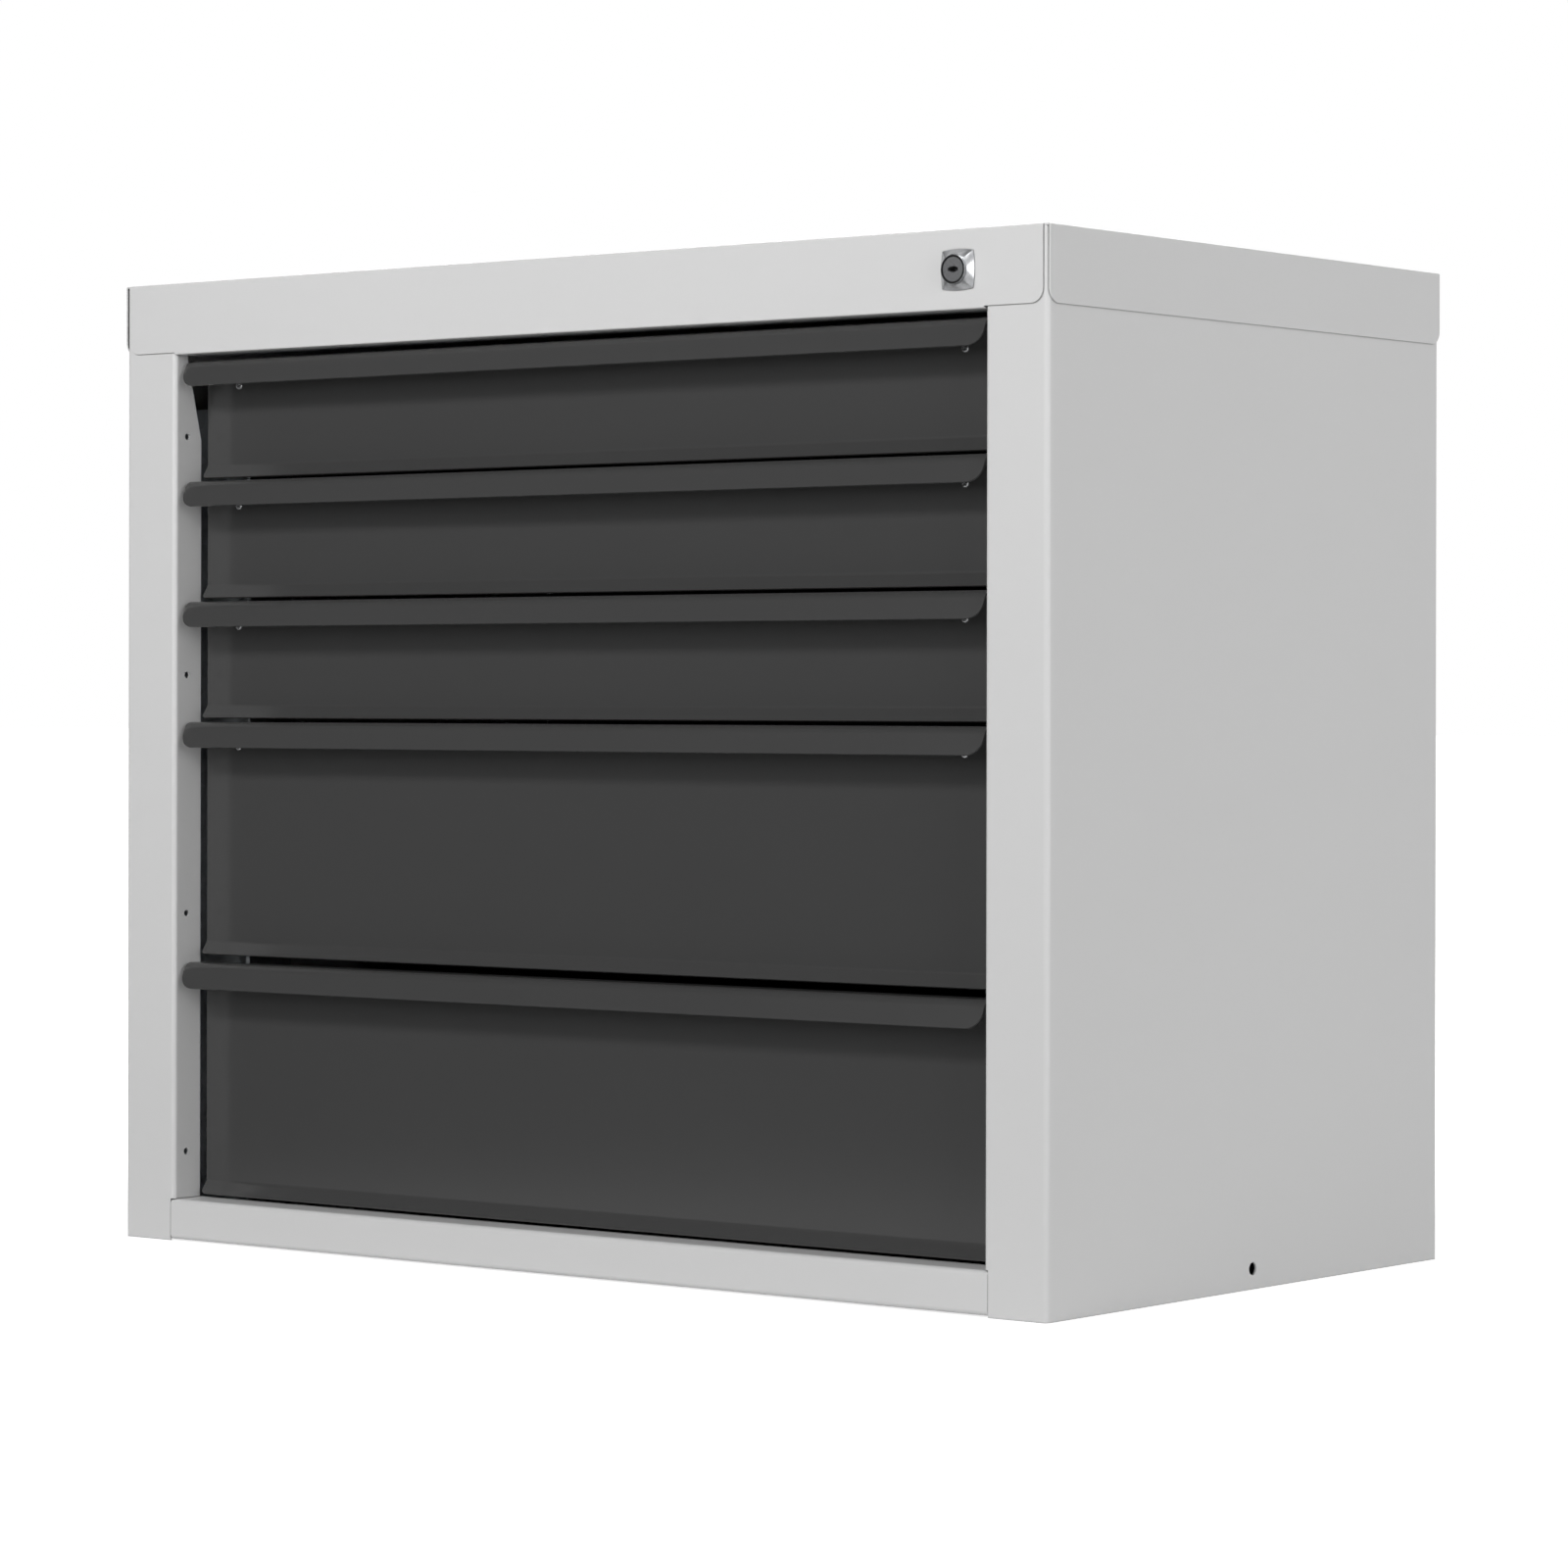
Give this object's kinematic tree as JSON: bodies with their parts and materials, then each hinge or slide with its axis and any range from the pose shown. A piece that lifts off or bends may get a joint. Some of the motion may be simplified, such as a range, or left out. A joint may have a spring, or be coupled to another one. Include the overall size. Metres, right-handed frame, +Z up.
{
  "type": "steel drawer cabinet",
  "caption": "Low steel drawer cabinet with full-width folded handles, full-extension drawers of two heights and a central cam lock.",
  "frame": {"origin": "centre of the bounding box on the floor: midway between the sides, and midway between the lock's face and the cover's back skirt, 2.6 mm in front of the cover's own middle", "axes": "+X to the right seen from the front, +Y from the front to the back, +Z up; drawers open along -Y"},
  "size_m": [0.708, 0.4152, 0.595],
  "materials": {
    "light_grey_paint": "light grey powder coat, fine satin texture",
    "anthracite_paint": "anthracite powder coat, satin",
    "anthracite_tray_paint": "anthracite powder coat, satin, inside and out",
    "galvanised_steel": "galvanised steel sheet",
    "zinc_plated_slides": "bright zinc-plated roll-formed steel",
    "zinc_plated_bar": "zinc-plated steel strip",
    "zinc_plated_fasteners": "zinc-plated steel",
    "rivet_aluminium": "bare blind rivet",
    "lock_chrome": "satin chrome-plated die casting"
  },
  "bodies": {
    "cabinet": {"side_panel_left": "light_grey_paint", "side_panel_right": "light_grey_paint", "bottom_panel": "light_grey_paint", "top_cover": "light_grey_paint", "back_panel": "light_grey_paint", "back_panel_rivets": "rivet_aluminium", "upright_front_left": "galvanised_steel", "upright_front_right": "galvanised_steel", "upright_rear_left": "galvanised_steel", "upright_rear_right": "galvanised_steel", "slide_screws": "zinc_plated_fasteners", "lock_rosette": "lock_chrome", "lock_housing": "lock_chrome", "lock_nut": "zinc_plated_fasteners", "lock_bar_guides": "zinc_plated_bar", "slide_outer_1": "zinc_plated_slides", "slide_outer_2": "zinc_plated_slides", "slide_outer_3": "zinc_plated_slides", "slide_outer_4": "zinc_plated_slides", "slide_outer_5": "zinc_plated_slides"},
    "drawer_1": {"drawer_front_1": "anthracite_paint", "drawer_tray_1": "anthracite_tray_paint", "front_rivets_1": "rivet_aluminium", "lock_stud_1": "zinc_plated_fasteners", "slide_inner_1": "zinc_plated_slides"},
    "slide_middle_1": {"slide_middle_1": "zinc_plated_slides"},
    "drawer_2": {"drawer_front_2": "anthracite_paint", "drawer_tray_2": "anthracite_tray_paint", "front_rivets_2": "rivet_aluminium", "lock_stud_2": "zinc_plated_fasteners", "slide_inner_2": "zinc_plated_slides"},
    "slide_middle_2": {"slide_middle_2": "zinc_plated_slides"},
    "drawer_3": {"drawer_front_3": "anthracite_paint", "drawer_tray_3": "anthracite_tray_paint", "front_rivets_3": "rivet_aluminium", "lock_stud_3": "zinc_plated_fasteners", "slide_inner_3": "zinc_plated_slides"},
    "slide_middle_3": {"slide_middle_3": "zinc_plated_slides"},
    "drawer_4": {"drawer_front_4": "anthracite_paint", "drawer_tray_4": "anthracite_tray_paint", "front_rivets_4": "rivet_aluminium", "lock_stud_4": "zinc_plated_fasteners", "slide_inner_4": "zinc_plated_slides"},
    "slide_middle_4": {"slide_middle_4": "zinc_plated_slides"},
    "drawer_5": {"drawer_front_5": "anthracite_paint", "drawer_tray_5": "anthracite_tray_paint", "front_rivets_5": "rivet_aluminium", "lock_stud_5": "zinc_plated_fasteners", "slide_inner_5": "zinc_plated_slides"},
    "slide_middle_5": {"slide_middle_5": "zinc_plated_slides"},
    "lock_core": {"lock_plug": "lock_chrome", "lock_cam": "zinc_plated_fasteners", "cam_screw": "zinc_plated_fasteners"},
    "locking_bar": {"lock_bar": "zinc_plated_bar", "lock_bar_yoke": "zinc_plated_bar", "lock_dogs": "zinc_plated_bar"}
  },
  "joints": [
    {"name": "drawer_1_slide", "type": "slide", "parent": "cabinet", "child": "drawer_1", "axis": [0, -1, 0], "range_m": [0, 0.35]},
    {"name": "middle_1_slide", "type": "slide", "parent": "cabinet", "child": "slide_middle_1", "axis": [0, -1, 0], "range_m": [0, 0.175]},
    {"name": "drawer_2_slide", "type": "slide", "parent": "cabinet", "child": "drawer_2", "axis": [0, -1, 0], "range_m": [0, 0.35]},
    {"name": "middle_2_slide", "type": "slide", "parent": "cabinet", "child": "slide_middle_2", "axis": [0, -1, 0], "range_m": [0, 0.175]},
    {"name": "drawer_3_slide", "type": "slide", "parent": "cabinet", "child": "drawer_3", "axis": [0, -1, 0], "range_m": [0, 0.35]},
    {"name": "middle_3_slide", "type": "slide", "parent": "cabinet", "child": "slide_middle_3", "axis": [0, -1, 0], "range_m": [0, 0.175]},
    {"name": "drawer_4_slide", "type": "slide", "parent": "cabinet", "child": "drawer_4", "axis": [0, -1, 0], "range_m": [0, 0.35]},
    {"name": "middle_4_slide", "type": "slide", "parent": "cabinet", "child": "slide_middle_4", "axis": [0, -1, 0], "range_m": [0, 0.175]},
    {"name": "drawer_5_slide", "type": "slide", "parent": "cabinet", "child": "drawer_5", "axis": [0, -1, 0], "range_m": [0, 0.35]},
    {"name": "middle_5_slide", "type": "slide", "parent": "cabinet", "child": "slide_middle_5", "axis": [0, -1, 0], "range_m": [0, 0.175]},
    {"name": "lock_turn", "type": "hinge", "parent": "cabinet", "child": "lock_core", "pos_m": [0.2931, -0.2076, 0.5726], "axis": [0, 1, 0], "range_deg": [0, 90]},
    {"name": "locking_bar_slide", "type": "slide", "parent": "cabinet", "child": "locking_bar", "axis": [0, 0, -1], "range_m": [0, 0.02263]}
  ],
  "couplings": [
    {"joint": "middle_1_slide", "follows": "drawer_1_slide", "ratio": 0.5},
    {"joint": "middle_2_slide", "follows": "drawer_2_slide", "ratio": 0.5},
    {"joint": "middle_3_slide", "follows": "drawer_3_slide", "ratio": 0.5},
    {"joint": "middle_4_slide", "follows": "drawer_4_slide", "ratio": 0.5},
    {"joint": "middle_5_slide", "follows": "drawer_5_slide", "ratio": 0.5},
    {"joint": "lock_turn", "follows": "locking_bar_slide", "rad_per_m": 69.421}
  ]
}
